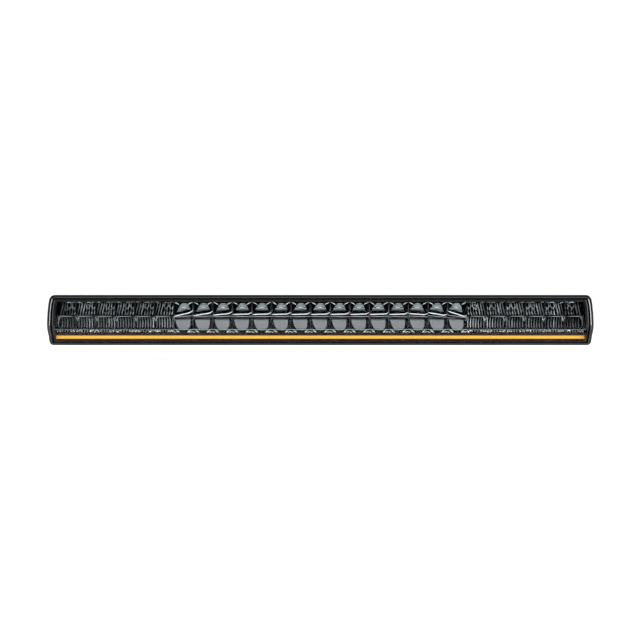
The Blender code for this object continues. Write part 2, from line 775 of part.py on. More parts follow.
def slider(name, x):
    """A keyed pad outside the slot, with a lug for the pivot bolt."""
    half = LUG / 2
    neck = SLOT_NECK / 2 - SLOT_PLAY
    pad_back = RAIL_BACK + SLIDER_PAD
    pad = box(
        name,
        "black_steel",
        (x - SLIDER_HALF, RAIL_BACK + GAP, SLOT_Z - 9.5 * MM),
        (x + SLIDER_HALF, pad_back, SLOT_Z + 9.5 * MM),
    )
    key = box(
        f"{name}_key",
        None,
        (x - SLIDER_HALF + PAST, RAIL_BACK - SLOT_LIP, SLOT_Z - neck),
        (x + SLIDER_HALF - PAST, RAIL_BACK + PAST, SLOT_Z + neck),
    )
    arm = box(
        f"{name}_arm",
        None,
        (x - half, RAIL_BACK + PAST, SLOT_Z - 7.5 * MM),
        (x + half, PIVOT, SLOT_Z + 7.5 * MM),
    )
    across = (PIVOT, SLOT_Z)
    eye = rod(f"{name}_eye", None, "X", LUG_R, (x - half, x + half), across, 24)
    hole = rod(f"{name}_pivot_hole", None, "X", PIVOT_HOLE_R, (x - LUG, x + LUG), across, 20)
    span = (RAIL_BACK - SLOT_LIP - PAST, pad_back + PAST)
    return cut(join(pad, key, arm, eye), hole, *clamp_holes(f"{name}_clamp_hole", x, span, CLAMP_HOLE_R))


def clamp_screw(name, x):
    where = (x, SLOT_Z)
    seat = RAIL_BACK + SLIDER_PAD + GAP
    top = seat + CLAMP_HEAD
    head = rod(name, "steel", "Y", CLAMP_HEAD_R, (seat, top), where)
    tip = RAIL_BACK - SLOT_DEEP + PAST
    shank = rod(f"{name}_shank", None, "Y", CLAMP_R, (tip, seat + PAST), where, 12)
    socket = rod(f"{name}_socket", None, "Y", 2.3 * MM, (top - 2 * MM, top + PAST), where, 6)
    return cut(join(head, shank), socket)


def ear_outline(plate_front):
    """Depth and z of an ear: round at the pivot, and widening to the plate."""
    half = FOOT_HEIGHT / 2 - 4 * MM
    arc = [math.radians(90 + 15 * step) for step in range(13)]
    points = [(PIVOT + LUG_R * math.cos(angle), SLOT_Z + LUG_R * math.sin(angle)) for angle in arc]
    root = plate_front + FOOT_PLATE / 2
    return points + [(root, SLOT_Z - half), (root, SLOT_Z + half)]


def foot(name, x):
    """A base plate with a long hole, and two ears that straddle the slider's lug."""
    plate_back = PIVOT + FOOT_REACH
    plate_front = plate_back - FOOT_PLATE
    wide = FOOT_WIDTH / 2
    high = FOOT_HEIGHT / 2
    corners = [
        (x + a * wide, SLOT_Z + b * high, FOOT_CORNER) for a, b in ((1, -1), (1, 1), (-1, 1), (-1, -1))
    ]
    plate = extrude(name, "black_steel", [rounded(corners)], (plate_front, plate_back), "Y")
    for side in (-1, 1):
        span = (x + side * EAR_INNER, x + side * EAR_OUTER)
        join(plate, extrude(f"{name}_ear_{side}", None, [ear_outline(plate_front)], span, "X"))
    hole = rod(f"{name}_pivot_hole", None, "X", PIVOT_HOLE_R, (x - LUG, x + LUG), (PIVOT, SLOT_Z), 20)
    run = BOLT_SLOT / 2
    corners = [
        (x + a * run, SLOT_Z + b * BOLT_SLOT_R, BOLT_SLOT_R * 0.999)
        for a, b in ((1, -1), (1, 1), (-1, 1), (-1, -1))
    ]
    bolt_span = (plate_front - PAST, plate_back + PAST)
    return cut(plate, hole, extrude(f"{name}_bolt_slot", None, [rounded(corners, 6)], bolt_span, "Y"))


def pivot_bolt(name, x):
    across = (PIVOT, SLOT_Z)
    seat = x + EAR_OUTER + GAP
    top = seat + 6 * MM
    head = rod(name, "steel", "X", 6.5 * MM, (seat, top), across, 20)
    tip = x - EAR_OUTER - WASHER - NUT - 2 * MM
    shank = rod(f"{name}_shank", None, "X", PIVOT_R, (tip, seat + PAST), across, 20)
    socket = rod(f"{name}_socket", None, "X", 3.4 * MM, (top - 3 * MM, top + PAST), across, 6)
    return cut(join(head, shank), socket)


def pivot_washer(name, x):
    across = (PIVOT, SLOT_Z)
    inner = x - EAR_OUTER - GAP
    outer = inner - WASHER
    washer = rod(name, "steel", "X", WASHER_R, (inner, outer), across, 24)
    return cut(washer, rod(f"{name}_hole", None, "X", PIVOT_HOLE_R, (inner + PAST, outer - PAST), across, 20))


def pivot_nut(name, x):
    across = (PIVOT, SLOT_Z)
    inner = x - EAR_OUTER - 2 * GAP - WASHER
    outer = inner - NUT
    nut = rod(name, "steel", "X", NUT_R, (inner, outer), across, 6)
    return cut(nut, rod(f"{name}_hole", None, "X", PIVOT_HOLE_R, (inner + PAST, outer - PAST), across, 20))


def axis_empty(name, x, depth, parent=None):
    """An empty on a joint's axis, which its moving pieces hang on."""
    empty = bpy.data.objects.new(name, None)
    PARTS.objects.link(empty)
    empty.matrix_world = Matrix.Translation((x, world_y(depth), SLOT_Z))
    bpy.context.view_layer.update()
    if parent:
        hang(empty, parent)
    return empty


def hang(obj, empty):
    obj.parent = empty
    obj.matrix_parent_inverse = empty.matrix_world.inverted()


def swivel_foot(word, x):
    slide = axis_empty(f"{word}_slide", x, RAIL_BACK)
    tilt = axis_empty(f"{word}_tilt", x, PIVOT, slide)
    for piece in (
        slot_nut(f"{word}_slot_nut", x),
        slider(f"{word}_slider", x),
        clamp_screw(f"{word}_clamp_screw_1", x - CLAMP_X),
        clamp_screw(f"{word}_clamp_screw_2", x + CLAMP_X),
    ):
        hang(piece, slide)
    for piece in (
        foot(f"{word}_foot", x),
        pivot_bolt(f"{word}_pivot_bolt", x),
        pivot_washer(f"{word}_pivot_washer", x),
        pivot_nut(f"{word}_pivot_nut", x),
    ):
        hang(piece, tilt)


def build():
    front_bezel()
    lens()
    lens_gasket()
    housing()
    mounting_rail()
    for word, side in (("left", -1), ("right", 1)):
        end_cap(f"{word}_end_cap", side)
        end_gasket(f"{word}_end_gasket", side)
        for i, where in enumerate(END_SCREWS):
            end_screw(f"{word}_end_screw_{i + 1}", side, where)
    for number in range(COLUMNS // MODULE):
        reflector(number)
    heat_rail()
    thermal_pad()
    for number in range(BOARDS):
        led_board("upper", 1, number)
        led_board("lower", -1, number)
    guide_tray()
    light_guide()
    position_board()
    driver_board()
    cable_gland()
    gland_nut()
    breather()
    swivel_foot("left", -FOOT_X)
    swivel_foot("right", FOOT_X)


build()
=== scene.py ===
"""Looks for the LED light bar: cover, bezel, reflectors, lit amber strip, and the finish of every part.

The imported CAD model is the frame. Lengths here are millimetres: x along the bar, u the depth behind the
foremost plane, z up. at() turns them into the frame's metres.
"""

import json
import math
import random

import bmesh
import bpy
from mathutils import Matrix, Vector


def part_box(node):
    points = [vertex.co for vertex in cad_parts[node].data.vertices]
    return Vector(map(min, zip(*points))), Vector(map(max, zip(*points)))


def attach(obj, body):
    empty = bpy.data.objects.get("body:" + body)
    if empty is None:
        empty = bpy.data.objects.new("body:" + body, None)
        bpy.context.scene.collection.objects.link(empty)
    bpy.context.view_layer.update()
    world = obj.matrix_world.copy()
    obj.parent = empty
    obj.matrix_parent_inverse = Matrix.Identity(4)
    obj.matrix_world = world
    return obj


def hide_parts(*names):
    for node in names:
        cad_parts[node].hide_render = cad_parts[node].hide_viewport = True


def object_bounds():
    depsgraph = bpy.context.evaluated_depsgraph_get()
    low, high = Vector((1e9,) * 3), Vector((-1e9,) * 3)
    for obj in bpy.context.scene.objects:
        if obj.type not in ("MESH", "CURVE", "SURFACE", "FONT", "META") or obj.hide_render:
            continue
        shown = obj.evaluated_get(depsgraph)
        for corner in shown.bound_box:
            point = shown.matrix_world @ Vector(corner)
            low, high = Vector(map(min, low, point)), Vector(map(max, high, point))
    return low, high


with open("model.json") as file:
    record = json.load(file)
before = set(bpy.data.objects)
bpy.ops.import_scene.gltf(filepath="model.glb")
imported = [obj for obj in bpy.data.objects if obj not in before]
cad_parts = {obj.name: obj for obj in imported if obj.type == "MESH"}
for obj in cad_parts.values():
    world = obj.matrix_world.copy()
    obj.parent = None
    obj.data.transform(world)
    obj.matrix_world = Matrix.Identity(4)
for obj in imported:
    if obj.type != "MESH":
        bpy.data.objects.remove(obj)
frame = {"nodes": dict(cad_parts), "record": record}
CAD_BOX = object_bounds()

# Sizes read from the frame
LOW, HIGH = CAD_BOX
FRONT_Y = LOW[1]
HALF = HIGH[0] * 1000
HEIGHT = HIGH[2] * 1000
BAR = "bar"
MODULES = 9
MODULE_COLUMNS = 3
COLUMNS = MODULES * MODULE_COLUMNS
MODULE_GAP = 0.15  # from the end of a reflector moulding to the middle of the joint
FIELD = -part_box("reflector_1")[0][0] * 1000 + MODULE_GAP  # half the length that the columns fill
PITCH = 2 * FIELD / COLUMNS
FLUTED = 6  # columns at each end
GUIDE_LOW, GUIDE_HIGH = (corner[2] * 1000 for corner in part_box("light_guide"))
GUIDE_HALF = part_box("light_guide")[1][0] * 1000

FOLD = 24  # height of the outline's corners nearest the crease

# The front outline, as on the CAD bezel: x, z, corner radius of the right half, from the bottom
OUTLINE = (
    (403.6, 0, 6.0),
    (404.3, 14, 0),
    (405.6, FOLD, 0),
    (HALF, 31, 0),
    (405.3, 47, 0),
    (404.0, 60, 0),
    (401.6, HEIGHT, 9.0),
)
CREASE = 23.8  # the front leans back below this height
RAKE = math.tan(math.radians(16))
BEZEL_END, BEZEL_TOP, BEZEL_BOTTOM = 5.4, 5.7, 4.0  # width of the ring
SKIRT = 2.5  # thickness of its wall behind the front
BEZEL_RIM, BEZEL_DEPTH = 12, 18
GUIDE_PAST, CHANNEL_PAST = 1.7, 2.5  # how far the lit bar and its channel pass the CAD guide's ends

RIM = 9.2  # depth of the reflectors' front edge
DIVIDE = 43.0  # height between the two rows
OPTIC_LOW, OPTIC_HIGH = 18.8, 66.2
FRAME_BACK = RIM + 1.2  # depth of the frame round each recess
LIP = RIM + 0.4  # depth of the edge of each recess
OPTIC_BACK = 39.5
POST_SHIFT = 2.4  # how far each forked post stands towards the middle of the bar from its joint


def at(x, u, z):
    return Vector((x / 1000, FRONT_Y + u / 1000, z / 1000))


# Materials


def finish(name, colour, roughness, metallic=0.0, other=None, grain=400.0, spread=0.08, bump=0.0,
           stretch=(1, 1, 1), emission=None, strength=0.0, specular=0.5):
    """A Principled material with a second tone in patches, and roughness and height from fine grain."""
    made = bpy.data.materials.new(name)
    made.use_nodes = True
    nodes, links = made.node_tree.nodes, made.node_tree.links
    shader = nodes["Principled BSDF"]
    shader.inputs["Metallic"].default_value = metallic
    shader.inputs["Specular IOR Level"].default_value = specular
    place = nodes.new("ShaderNodeTexCoord")
    turn = nodes.new("ShaderNodeMapping")
    turn.inputs["Scale"].default_value = stretch
    links.new(place.outputs["Object"], turn.inputs["Vector"])
    fine = nodes.new("ShaderNodeTexNoise")
    fine.inputs["Scale"].default_value = grain
    fine.inputs["Detail"].default_value = 3.0
    links.new(turn.outputs["Vector"], fine.inputs["Vector"])
    broad = nodes.new("ShaderNodeTexNoise")
    broad.inputs["Scale"].default_value = grain / 12
    links.new(turn.outputs["Vector"], broad.inputs["Vector"])
    tones = nodes.new("ShaderNodeMix")
    tones.data_type = "RGBA"
    tones.inputs["A"].default_value = (*colour, 1)
    tones.inputs["B"].default_value = (*(other or [value * 0.75 for value in colour]), 1)
    links.new(broad.outputs["Fac"], tones.inputs["Factor"])
    links.new(tones.outputs["Result"], shader.inputs["Base Color"])
    rough = nodes.new("ShaderNodeMapRange")
    rough.inputs["To Min"].default_value = max(roughness - spread, 0.02)
    rough.inputs["To Max"].default_value = min(roughness + spread, 1.0)
    links.new(fine.outputs["Fac"], rough.inputs["Value"])
    links.new(rough.outputs["Result"], shader.inputs["Roughness"])
    if bump:
        height = nodes.new("ShaderNodeBump")
        height.inputs["Strength"].default_value = 0.6
        height.inputs["Distance"].default_value = bump / 1000
        links.new(fine.outputs["Fac"], height.inputs["Height"])
        links.new(height.outputs["Normal"], shader.inputs["Normal"])
    if emission:
        shader.inputs["Emission Color"].default_value = (*emission, 1)
        shader.inputs["Emission Strength"].default_value = strength
    made.diffuse_color = (*colour, 1)
    return made


def clear_finish(name, tint):
    """Clear plastic: what is behind it shows straight through, with a reflection that grows when grazing."""
    made = bpy.data.materials.new(name)
    made.use_nodes = True
    nodes, links = made.node_tree.nodes, made.node_tree.links
    nodes.remove(nodes["Principled BSDF"])
    output = nodes["Material Output"]
    through = nodes.new("ShaderNodeBsdfTransparent")
    through.inputs["Color"].default_value = (*tint, 1)
    gloss = nodes.new("ShaderNodeBsdfGlossy")
    gloss.inputs["Roughness"].default_value = 0.04
    edge = nodes.new("ShaderNodeLayerWeight")
    edge.inputs["Blend"].default_value = 0.5
    steep = nodes.new("ShaderNodeMath")
    steep.operation = "POWER"
    steep.inputs[1].default_value = 4.0
    links.new(edge.outputs["Facing"], steep.inputs[0])
    share = nodes.new("ShaderNodeMapRange")
    share.inputs["To Min"].default_value = 0.008
    share.inputs["To Max"].default_value = 0.45
    links.new(steep.outputs["Value"], share.inputs["Value"])
    mix = nodes.new("ShaderNodeMixShader")
    links.new(share.outputs["Result"], mix.inputs["Fac"])
    links.new(through.outputs["BSDF"], mix.inputs[1])
    links.new(gloss.outputs["BSDF"], mix.inputs[2])
    links.new(mix.outputs["Shader"], output.inputs["Surface"])
    made.diffuse_color = (*tint, 0.2)
    return made


GLOSS_BLACK = finish("gloss_black", (0.0085, 0.0095, 0.011), 0.16, other=(0.006, 0.0065, 0.0075), grain=900,
                     spread=0.04, bump=0.004, specular=0.3)
GLOSS_EDGE = finish("gloss_edge", (0.0085, 0.0095, 0.011), 0.09, other=(0.006, 0.0065, 0.0075), grain=900,
                    spread=0.02, specular=1.0)
# Opaque near black for the cover's shoulder: painted shade, standing in for the dark that the clear shoulder
# shows.
COVER_PAINTED_SHADE = finish("cover_painted_shade", (0.0065, 0.0075, 0.009), 0.14, other=(0.005, 0.0055, 0.0065), grain=900,
                      spread=0.03, specular=0.28)
# Near black without any reflection: painted shade for the recesses' walls, the backs behind the flutes and
# the moulding's shell.
PAINTED_SHADE_BLACK = finish("painted_shade_black", (0.0022, 0.0025, 0.0030), 0.75, other=(0.0013, 0.0015, 0.0018), spread=0.06,
                   specular=0.0)
DARK_CHROME = finish("dark_chrome", (0.035, 0.04, 0.044), 0.25, 1.0, other=(0.022, 0.026, 0.03), spread=0.05)
SATIN = finish("satin_metal", (0.45, 0.50, 0.515), 0.34, 1.0, other=(0.40, 0.41, 0.44), grain=500,
               spread=0.06, bump=0.003)
# A darker copy of the satin metal for the bells, which face the bright floor: painted shade.
SATIN_PAINTED_SHADE = finish("satin_metal_painted_shade", (0.25, 0.285, 0.295), 0.32, 1.0, other=(0.21, 0.23, 0.24),
                   grain=500, spread=0.06, bump=0.003)
# Near white polished metal for the strokes that stand for highlights: painted highlights.
BRIGHT_PAINTED_HIGHLIGHT = finish("bright_metal_painted_highlight", (0.86, 0.89, 0.90), 0.16, 1.0, other=(0.78, 0.82, 0.83), grain=500,
                spread=0.05)
CLEAR = clear_finish("clear_cover", (0.97, 0.98, 0.98))
AMBER_CORE = finish("amber_core", (0.20, 0.10, 0.01), 0.3, other=(0.22, 0.11, 0.012), grain=300,
                    emission=(0.885, 0.57, 0.066), strength=0.85, specular=0.2)
AMBER_EDGE = finish("amber_edge", (0.30, 0.11, 0.01), 0.3, other=(0.27, 0.10, 0.01), grain=300,
                    emission=(0.62, 0.21, 0.035), strength=0.8, specular=0.2)
AMBER_END = finish("amber_end", (0.35, 0.15, 0.015), 0.3, other=(0.32, 0.13, 0.012), grain=300,
                   emission=(0.74, 0.37, 0.065), strength=0.9, specular=0.2)
# Faint orange emission on the channel's lips: painted light spilled from the lit bar.
PAINTED_SPILL_ABOVE = finish("painted_spill_above", (0.012, 0.006, 0.002), 0.6, other=(0.010, 0.005, 0.002), grain=300,
                    emission=(0.026, 0.008, 0.0), strength=1.0, specular=0.1)
PAINTED_SPILL_BELOW = finish("painted_spill_below", (0.020, 0.004, 0.001), 0.6, other=(0.015, 0.003, 0.001), grain=300,
                    emission=(0.060, 0.006, 0.0), strength=1.0, specular=0.1)
TRAY_BLACK = finish("tray_black", (0.006, 0.006, 0.007), 0.45, other=(0.004, 0.004, 0.005), grain=900,
                    bump=0.01, specular=0.2)
ANODISED = finish("black_anodised", (0.021, 0.022, 0.024), 0.42, other=(0.014, 0.0145, 0.016), grain=900,
                  spread=0.10, bump=0.012, stretch=(0.02, 1, 1), specular=0.4)
CAP_COAT = finish("cap_coat", (0.016, 0.017, 0.019), 0.50, other=(0.011, 0.0115, 0.013), grain=1800,
                  spread=0.08, bump=0.03)
POWDER = finish("powder_coat", (0.017, 0.018, 0.020), 0.48, other=(0.011, 0.012, 0.013), grain=1500,
                spread=0.10, bump=0.05)
STEEL = finish("steel", (0.56, 0.56, 0.57), 0.28, 1.0, other=(0.44, 0.44, 0.45), grain=700, spread=0.09,
               bump=0.008)
BARE = finish("bare_aluminium", (0.66, 0.67, 0.68), 0.34, 1.0, other=(0.56, 0.57, 0.58), grain=600,
              stretch=(0.05, 1, 1), bump=0.01)
RUBBER = finish("seal_rubber", (0.018, 0.018, 0.018), 0.78, other=(0.012, 0.012, 0.012), grain=1200,
                bump=0.03)
NYLON = finish("black_nylon", (0.030, 0.030, 0.032), 0.52, other=(0.022, 0.022, 0.023), grain=1300, bump=0.04)
WHITE_BOARD = finish("white_board", (0.78, 0.79, 0.77), 0.45, other=(0.70, 0.71, 0.69), grain=300)
GREEN_BOARD = finish("green_board", (0.015, 0.11, 0.05), 0.40, other=(0.02, 0.07, 0.035), grain=120)
PAD = finish("thermal_pad", (0.33, 0.40, 0.50), 0.85, other=(0.27, 0.33, 0.42), grain=900, bump=0.03)


# Meshes


class Sheet:
    """Gathers rows of points into one mesh, with a finish for each patch."""

    def __init__(self, *finishes):
        self.finishes = finishes
        self.points = []
        self.faces = []
        self.kinds = []

    def grid(self, rows, kind=0, closed=False):
        """Quads between rows of equal length. closed joins each row's end to its start. kind may depend on
        the row and the place in it."""
        start = len(self.points)
        width = len(rows[0])
        for row in rows:
            self.points.extend(row)
        for j in range(len(rows) - 1):
            for i in range(width if closed else width - 1):
                a = start + j * width + i
                b = start + j * width + (i + 1) % width
                corners = (a, b, b + width, a + width)
                self.faces.append(corners)
                self.kinds.append(kind(j, i) if callable(kind) else kind)

    def face(self, points, kind=0):
        start = len(self.points)
        self.points.extend(points)
        self.faces.append(tuple(range(start, start + len(points))))
        self.kinds.append(kind)

    def piece(self, name, body=BAR, smooth=38, weld=0.01):
        mesh = bpy.data.meshes.new(name)
        mesh.from_pydata(self.points, [], self.faces)
        for material in self.finishes:
            mesh.materials.append(material)
        mesh.polygons.foreach_set("material_index", self.kinds)
        shape = bmesh.new()
        shape.from_mesh(mesh)
        bmesh.ops.remove_doubles(shape, verts=shape.verts, dist=weld / 1000)
        bmesh.ops.recalc_face_normals(shape, faces=shape.faces)
        shape.to_mesh(mesh)
        shape.free()
        mesh.shade_smooth()
        mesh.set_sharp_from_angle(angle=math.radians(smooth))
        obj = bpy.data.objects.new(name, mesh)
        bpy.context.scene.collection.objects.link(obj)
        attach(obj, body)
        return obj


def spline(points, t):
    """A smooth curve through points, at t from 0 to 1."""
    last = len(points) - 1
    place = min(max(t, 0.0), 1.0) * last
    i = min(int(place), last - 1)
    f = place - i
    p1, p2 = points[i], points[i + 1]
    p0 = points[i - 1] if i else [2 * a - b for a, b in zip(p1, p2)]
    p3 = points[i + 2] if i + 2 <= last else [2 * b - a for a, b in zip(p1, p2)]
    return [
        0.5 * (2 * b + (c - a) * f + (2 * a - 5 * b + 4 * c - d) * f * f + (3 * b - a - 3 * c + d) * f ** 3)
        for a, b, c, d in zip(p0, p1, p2, p3)
    ]


def steps(count):
    return [i / count for i in range(count + 1)]


def rounded(corners, arc=6):
    """A closed outline through corners given as a, b and radius, with an arc at each corner."""
    points = []
    for i, (a, b, radius) in enumerate(corners):
        if not radius:
            points.append((a, b))
            continue
        before, after = corners[i - 1], corners[(i + 1) % len(corners)]
        to_before = math.atan2(before[1] - b, before[0] - a)
        to_after = math.atan2(after[1] - b, after[0] - a)
        opening = (to_after - to_before + math.pi) % (2 * math.pi) - math.pi
        middle = to_before + opening / 2
        reach = radius / math.sin(abs(opening) / 2)
        centre = (a + reach * math.cos(middle), b + reach * math.sin(middle))
        sweep = math.copysign(math.pi - abs(opening), opening)
        for step in range(arc + 1):
            angle = middle + math.pi + sweep * (0.5 - step / arc)
            points.append((centre[0] + radius * math.cos(angle), centre[1] + radius * math.sin(angle)))
    return points


def face_outline(end, top, bottom):
    small = 1.2
    low, high = OUTLINE[0], OUTLINE[-1]
    right = [(low[0] - end, bottom, max(low[2] - end, small))]
    right += [(x - end, z, 0) for x, z, _ in OUTLINE[1:-1]]
    right.append((high[0] - end, HEIGHT - top, max(high[2] - end, small)))
    left = [(-x, z, radius) for x, z, radius in reversed(right)]
    return rounded(right + left)


def lean(z):
    return max(CREASE - z, 0) * RAKE


def ring(end, top, bottom, u, rake=1.0):
    """One loop of the bezel or the cover, at depth u, and leaning back below the crease."""
    return [at(x, u + rake * lean(z), z) for x, z in face_outline(end, top, bottom)]


# Bezel and cover


def front_bezel():
    """The gloss ring: a flat outer band, a narrow facet that catches the side lights, and an inner slope.
    The facet above the crease and the slope along the bottom are glossier than the rest."""
    profile = [  # inset at the ends, the top and the bottom, and depth
        (0, 0, 0, 4.0), (0, 0, 0, 1.9), (0.16, 0.16, 0.12, 1.35), (0.5, 0.5, 0.3, 0.95),
        (0.95, 0.95, 0.5, 0.72), (1.9, 1.7, 0.8, 0.60), (3.0, 2.5, 1.1, 0.52), (3.7, 3.1, 1.4, 0.47),
        (4.0, 3.4, 1.6, 0.34),
        (4.35, 3.8, 1.8, 0.19), (4.6, 4.1, 2.0, 0.08), (4.75, 4.3, 2.2, 0.0), (4.9, 4.6, 2.5, 0.12),
        (5.05, 4.9, 3.1, 0.7), (5.2, 5.2, 3.6, 1.5), (5.3, 5.45, 3.85, 2.4),
        (BEZEL_END, BEZEL_TOP, BEZEL_BOTTOM, 3.3),
    ]
    facet, slope = range(8, 11), range(12, 15)  # rows of faces
    loops = [ring(0, 0, 0, BEZEL_DEPTH, 0)] + [ring(*row) for row in profile]
    loops.append(ring(BEZEL_END, BEZEL_TOP, BEZEL_BOTTOM, BEZEL_RIM, 0))
    loops.append(ring(SKIRT, SKIRT, SKIRT, BEZEL_RIM, 0))
    loops.append(ring(SKIRT, SKIRT, SKIRT, BEZEL_DEPTH, 0))
    loops.append(loops[0])

    def polish(j, i):
        point = loops[j][i] * 1000
        on_facet = j in facet and point.z > CREASE - 0.5
        on_lower_slope = j in slope and point.z < BEZEL_BOTTOM + 1
        return int(on_facet or on_lower_slope)

    sheet = Sheet(GLOSS_BLACK, GLOSS_EDGE)
    sheet.grid(loops, polish, closed=True)
    piece = sheet.piece("bezel_ring")
    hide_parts("front_bezel")


def pane_faces(sheet, loop):
    """Fills a loop with a flat upper face and a leaning lower one, which meet at the crease."""
    first, second = [i for i, point in enumerate(loop) if abs(point.z * 1000 - FOLD) < 0.01]
    sheet.face([loop[i] for i in range(first, second + 1)])
    sheet.face([loop[i] for i in list(range(second, len(loop))) + list(range(first + 1))])


def clear_cover():
    """The cover: a flange behind the bezel, a shoulder that rises to a bead and is opaque black, painted
    shade for the dark that the clear shoulder shows, and a clear front with a bright satin metal line along
    its crease, a painted highlight. The shoulder's flat part is clear at the ends of the lit bar."""
    flange_front, flange_back = 12.3, 15.3
    edge = SKIRT + 0.3
    fit = 0.4
    shoulder = [  # inset at the ends, the top and the bottom, and depth
        (BEZEL_END + fit, BEZEL_TOP + fit, BEZEL_BOTTOM + fit, 4.6),
        (6.2, 6.2, 4.5, 3.2),
        (6.5, 6.35, 4.6, 2.3),
        (6.9, 6.6, 4.75, 1.9),
        (7.4, 6.9, 4.9, 1.6),
        (8.2, 7.5, 5.3, 1.25),
        (8.6, 7.8, 5.5, 1.13),
        (9.4, 8.2, 5.9, 1.05),
        (10.6, 8.5, 6.1, 1.1),
        (10.9, 8.6, 6.2, 1.6),
        (11.8, 9.6, 6.8, 1.6),
    ]
    inside = [
        (7.6, 7.9, 6.2, 8.6),
        (8.6, 8.6, 6.6, 7.2),
        (10.4, 9.4, 7.0, 5.6),
        (11.8, 10.0, 7.6, 4.8),
        (13.0, 10.6, 8.2, 4.6),
    ]
    bead = 5  # row of faces up to which the shoulder has the painted shade all round
    clear_from, clear_low = 388, 7
    clear, painted_shade_border, crease_highlight = range(3)
    sheet = Sheet(CLEAR, COVER_PAINTED_SHADE, SATIN)
    front = [ring(*row) for row in shoulder]
    back = [ring(*row) for row in inside]
    sheet.grid([ring(edge, edge, edge, flange_back, 0), ring(edge, edge, edge, flange_front, 0),
                ring(*shoulder[0][:3], flange_front, 0), front[0]], clear, closed=True)

    # The black on the shoulder is painted shade; its flat part stays clear beside the lit bar's ends.
    def shoulder_painted_shade(j, i):
        point = front[j][i] * 1000
        beside_guide = abs(point.x) > clear_from and clear_low < point.z < CREASE - 1
        return clear if j > bead and beside_guide else painted_shade_border

    sheet.grid(front, shoulder_painted_shade, closed=True)
    pane_faces(sheet, front[-1])
    sheet.grid([ring(edge, edge, edge, flange_back, 0), ring(*inside[0][:3], flange_back, 0)] + back, clear,
               closed=True)
    pane_faces(sheet, back[-1])
    # A thin satin metal bar along the crease: a painted highlight.
    reach = HALF - 11.5
    along = [(-reach, CREASE), (0, CREASE), (reach, CREASE)]
    bar_stroke(sheet, 0, along, [(0.2,)] * 3, 1.62, 0.12, crease_highlight, sides=6, count=20)
    piece = sheet.piece("cover", smooth=30)
    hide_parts("lens")


# Reflectors

PAINTED_SHADE, CHROME, PANEL, PANEL_PAINTED_SHADE, PAINTED_HIGHLIGHT = range(5)  # the finishes of a reflector: painted shade, dark chrome, satin, a darker satin copy as painted shade, and bright metal for painted highlights


def sampled(outline, cols, rows):
    """The four sides of an outline, sampled alike: bottom and top left to right, sides upwards."""
    bottom, right, top, left = outline
    return (
        [spline(bottom, t) for t in cols],
        [spline(right, t) for t in rows],
        [spline(top, t) for t in cols],
        [spline(left, t) for t in rows],
    )


def patch(outline, cols, rows):
    """A grid of x, z that fills an outline."""
    bottom, right, top, left = sampled(outline, cols, rows)
    grid = []
    for j, v in enumerate(rows):
        row = []
        for i, s in enumerate(cols):
            row.append([
                (1 - v) * bottom[i][k] + v * top[i][k] + (1 - s) * left[j][k] + s * right[j][k]
                - (1 - s) * (1 - v) * bottom[0][k] - s * (1 - v) * bottom[-1][k]
                - (1 - s) * v * top[0][k] - s * v * top[-1][k]
                for k in (0, 1)
            ])
        grid.append(row)
    return grid


def loop_of(outline, cols, rows):
    """The points round an outline, in step with those round a patch."""
    bottom, right, top, left = sampled(outline, cols, rows)
    return bottom[:-1] + right[:-1] + top[:0:-1] + left[:0:-1]


def rectangle(x0, x1, z0, z1):
    return ([(x0, z0), (x1, z0)], [(x1, z0), (x1, z1)], [(x0, z1), (x1, z1)], [(x0, z0), (x0, z1)])


def well(sheet, x, frame_outline, opening, panel, depth_of, cols, rows, kind):
    """A recess: a rim between the frame and the opening, curved walls in painted shade, and a panel at the
    back.
    """

    def lift(points, u):
        return [at(x + a, u, b) for a, b in points]

    outer = loop_of(frame_outline, cols, rows)
    edge = loop_of(opening, cols, rows)
    back = loop_of(panel, cols, rows)
    middle = [[a + (c - a) * 0.35 for a, c in zip(p, q)] for p, q in zip(outer, edge)]
    sheet.grid([lift(outer, FRAME_BACK), lift(middle, RIM + 0.15), lift(edge, LIP)], CHROME, closed=True)
    walls = [lift(edge, LIP)]
    for t in (0.25, 0.5, 0.75, 1.0):
        ease = 1 - (1 - t) ** 1.6
        row = []
        for p, q in zip(edge, back):
            a, b = p[0] + (q[0] - p[0]) * ease, p[1] + (q[1] - p[1]) * ease
            row.append(at(x + a, LIP + (depth_of(*q) - LIP) * t, b))
        walls.append(row)
    sheet.grid(walls, PAINTED_SHADE, closed=True)
    grid = patch(panel, cols, rows)
    sheet.grid([[at(x + a, depth_of(a, b), b) for a, b in row] for row in grid], kind)


def bar_stroke(sheet, x, path, widths, u, thick, kind, sides=8, count=10, roll=0.0, root=0.0):
    """A tapered rounded bar along a curve in x, z, with its half widths, and half its thickness. roll turns
    its front, as a slope across it: its left side, looking along it, comes forward. root is how much further
    back it reaches, as a rib standing on what is behind it."""
    rows = []
    for t in steps(count):
        here = spline(path, t)
        ahead = spline(path, min(t + 0.02, 1))
        behind = spline(path, max(t - 0.02, 0))
        dx, dz = ahead[0] - behind[0], ahead[1] - behind[1]
        length = math.hypot(dx, dz) or 1
        wide = max(spline(widths, t)[0], 0.03)
        row = []
        for k in range(sides):
            angle = 2 * math.pi * k / sides
            across = wide * math.cos(angle)
            out = thick * min(wide / widths[len(widths) // 2][0], 1.2) * math.sin(angle)
            out -= root * max(-math.sin(angle), 0)
            a, b = here[0] - dz / length * across, here[1] + dx / length * across
            row.append(at(x + a, u - out - roll * across, b))
        rows.append(row)
    sheet.grid(rows, kind, closed=True)
    sheet.face(rows[0], kind)
    sheet.face(rows[-1][::-1], kind)


